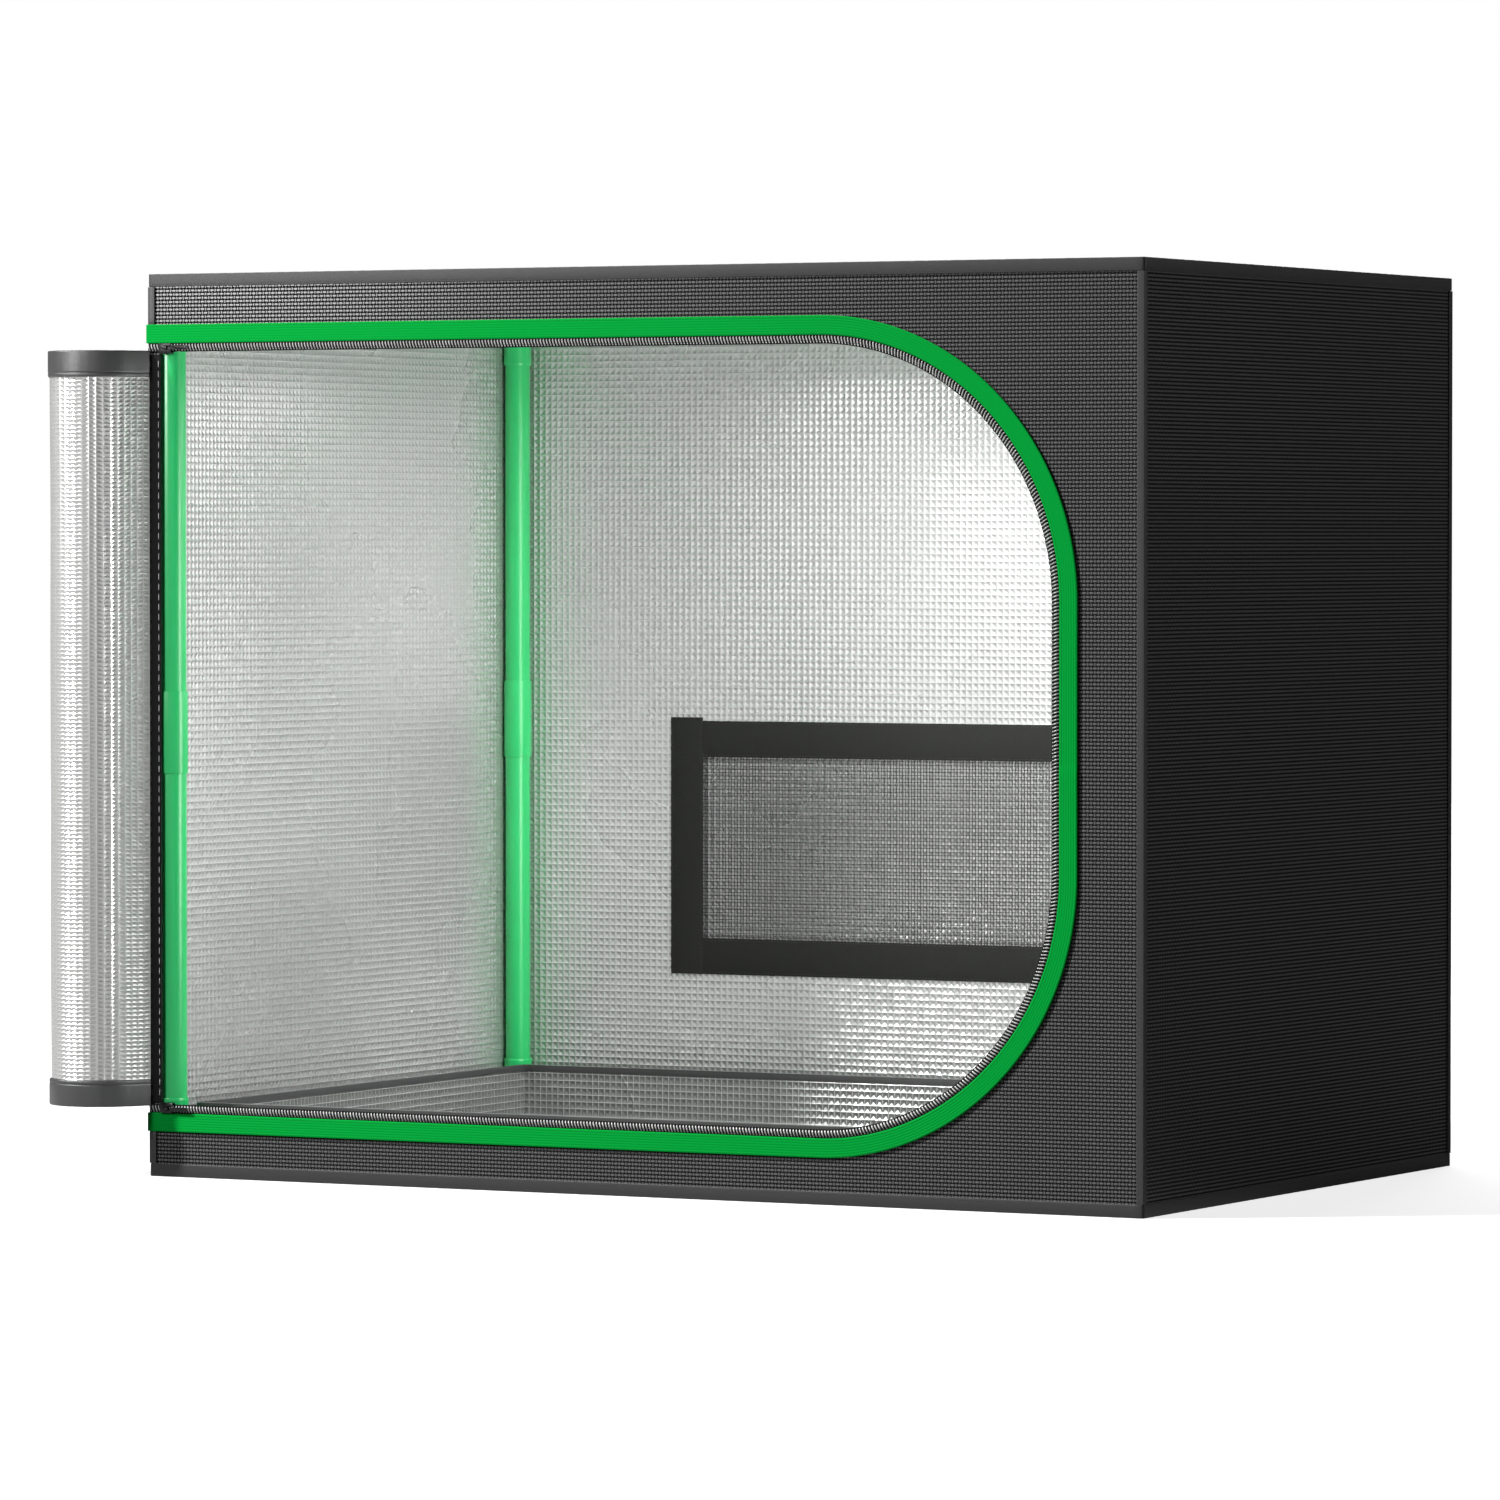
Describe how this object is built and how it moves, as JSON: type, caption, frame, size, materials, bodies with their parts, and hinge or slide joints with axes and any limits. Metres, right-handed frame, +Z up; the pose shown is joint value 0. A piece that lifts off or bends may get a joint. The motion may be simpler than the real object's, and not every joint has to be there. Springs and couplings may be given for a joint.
{
  "type": "indoor grow tent",
  "caption": "Low tabletop grow tent: steel tube frame, fabric skin with mirror lining, D-shaped zip door rolled up at one side, netted window, duct sleeve, hanging bars and lift-out tray.",
  "frame": {"origin": "middle of the floor's underside, on the surface that the tent stands on", "axes": "+X to the right along the front, +Y from the door to the back wall, +Z up"},
  "size_m": [1.0036, 0.7113, 0.75],
  "materials": {
    "green_enamel": "satin green enamel on steel tube",
    "white_enamel": "white enamel on steel tube",
    "black_canvas": "black basket-weave canvas outside, embossed mirror film inside",
    "grey_binding": "dark grey woven edge binding",
    "mirror_film": "canvas with embossed mirror film facing out",
    "black_tape": "black woven tape",
    "green_webbing": "bright green ribbed webbing",
    "zip_coil": "black and white nylon coil",
    "dark_metal": "black plated metal",
    "black_net": "black open net"
  },
  "bodies": {
    "tent": {"post_lower_front_left": "green_enamel", "post_lower_front_right": "green_enamel", "post_lower_back_left": "green_enamel", "post_lower_back_right": "green_enamel", "post_upper_front_left": "green_enamel", "post_upper_front_right": "green_enamel", "post_upper_back_left": "green_enamel", "post_upper_back_right": "green_enamel", "post_joiner_front_left": "green_enamel", "post_joiner_front_right": "green_enamel", "post_joiner_back_left": "green_enamel", "post_joiner_back_right": "green_enamel", "corner_bottom_front_left": "green_enamel", "corner_bottom_front_right": "green_enamel", "corner_bottom_back_left": "green_enamel", "corner_bottom_back_right": "green_enamel", "corner_top_front_left": "green_enamel", "corner_top_front_right": "green_enamel", "corner_top_back_left": "green_enamel", "corner_top_back_right": "green_enamel", "rail_bottom_front": "green_enamel", "rail_bottom_back": "green_enamel", "rail_bottom_left": "green_enamel", "rail_bottom_right": "green_enamel", "rail_top_front": "green_enamel", "rail_top_back": "green_enamel", "rail_top_left": "green_enamel", "rail_top_right": "green_enamel", "skin_front": "black_canvas", "skin_back": "black_canvas", "skin_left": "black_canvas", "skin_right": "black_canvas", "skin_roof": "black_canvas", "skin_floor": "black_canvas", "duct_sleeve": "black_canvas", "binding_roof": "grey_binding", "binding_floor": "grey_binding", "binding_front_left": "grey_binding", "binding_front_right": "grey_binding", "binding_back_left": "grey_binding", "binding_back_right": "grey_binding", "zip_tape": "black_tape", "door_hinge_tape": "black_tape", "window_border": "black_tape", "flap_hook_strip": "black_tape", "door_band": "green_webbing", "zip_coil": "zip_coil", "window_net": "black_net"},
    "door": {"door_roll": "mirror_film", "door_hem_top": "black_tape", "door_hem_bottom": "black_tape"},
    "zip_top": {"zip_slider_top": "dark_metal"},
    "zip_top_tab": {"zip_pull_top": "dark_metal"},
    "zip_bottom": {"zip_slider_bottom": "dark_metal"},
    "zip_bottom_tab": {"zip_pull_bottom": "dark_metal"},
    "flap": {"window_flap": "black_canvas"},
    "bar_left": {"hanging_bar_left": "white_enamel"},
    "bar_right": {"hanging_bar_right": "white_enamel"},
    "tray": {"floor_tray": "mirror_film", "floor_tray_binding": "black_tape"}
  },
  "joints": [
    {"name": "door_swing", "type": "hinge", "parent": "tent", "child": "door", "pos_m": [-0.4555, -0.3058, 0.3728], "axis": [0, 0, 1], "range_deg": [-12, 75]},
    {"name": "zip_top_slide", "type": "slide", "parent": "tent", "child": "zip_top", "axis": [1, 0, 0], "range_m": [0, 0.6]},
    {"name": "zip_top_pull", "type": "hinge", "parent": "zip_top", "child": "zip_top_tab", "pos_m": [-0.439, -0.3089, 0.6891], "axis": [0, 0, -1], "range_deg": [0, 90]},
    {"name": "zip_bottom_slide", "type": "slide", "parent": "tent", "child": "zip_bottom", "axis": [1, 0, 0], "range_m": [0, 0.6]},
    {"name": "zip_bottom_pull", "type": "hinge", "parent": "zip_bottom", "child": "zip_bottom_tab", "pos_m": [-0.439, -0.3089, 0.0566], "axis": [0, 0, -1], "range_deg": [0, 90]},
    {"name": "window_flap_lift", "type": "hinge", "parent": "tent", "child": "flap", "pos_m": [0, 0.3056, 0.3693], "axis": [1, 0, 0], "range_deg": [0, 165]},
    {"name": "hanging_bar_left_slide", "type": "slide", "parent": "tent", "child": "bar_left", "axis": [1, 0, 0], "range_m": [-0.22, 0.13]},
    {"name": "hanging_bar_right_slide", "type": "slide", "parent": "tent", "child": "bar_right", "axis": [1, 0, 0], "range_m": [-0.13, 0.22]},
    {"name": "floor_tray_lift", "type": "slide", "parent": "tent", "child": "tray", "axis": [0, 0, 1], "range_m": [0, 0.25]}
  ]
}
